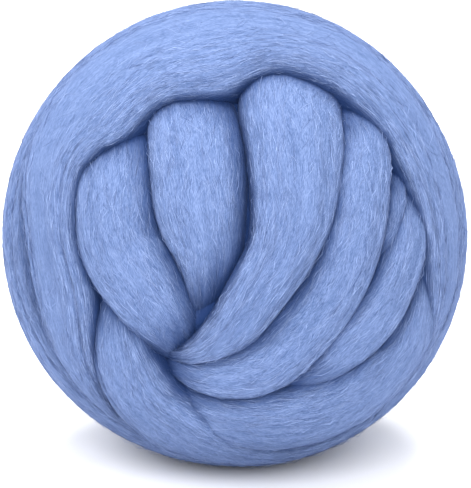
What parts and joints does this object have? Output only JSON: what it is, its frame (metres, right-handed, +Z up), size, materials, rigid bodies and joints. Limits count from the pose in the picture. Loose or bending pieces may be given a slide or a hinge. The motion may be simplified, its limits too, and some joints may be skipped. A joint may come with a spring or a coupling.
{
  "type": "ball of wool roving",
  "caption": "Round ball of unspun combed wool roving, wound in broad soft strands that cross one another on its face.",
  "frame": {"origin": "middle of the small flat spot that the ball rests on", "axes": "+Z up; -Y is the way the face looks, where the strands cross; +X is to the right of someone facing it"},
  "size_m": [0.1483, 0.1472, 0.1473],
  "materials": {
    "wool": "matt combed wool, periwinkle blue"
  },
  "bodies": {
    "root": {"wound_ball": "wool"}
  },
  "joints": []
}
